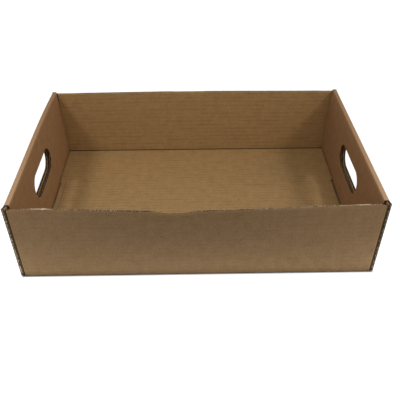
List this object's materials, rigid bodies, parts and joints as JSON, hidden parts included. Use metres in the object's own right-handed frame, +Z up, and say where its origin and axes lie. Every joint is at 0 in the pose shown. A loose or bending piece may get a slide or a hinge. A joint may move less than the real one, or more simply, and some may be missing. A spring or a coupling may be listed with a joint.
{
  "type": "cardboard tray box",
  "caption": "Open corrugated cardboard tray folded from one sheet, with rolled double end walls, hand holes and a single front and back wall.",
  "frame": {"origin": "on the underside of the base, at the middle of the base", "axes": "+X along the tray from one hand-hole end to the other, +Y from the front wall with the worn dip to the back wall, +Z up"},
  "size_m": [0.4, 0.2695, 0.1],
  "materials": {
    "kraft_board": "plain brown kraft corrugated board, matt, with the flutes showing faintly and raw cut edges"
  },
  "bodies": {
    "root": {"tray": "kraft_board"}
  },
  "joints": []
}
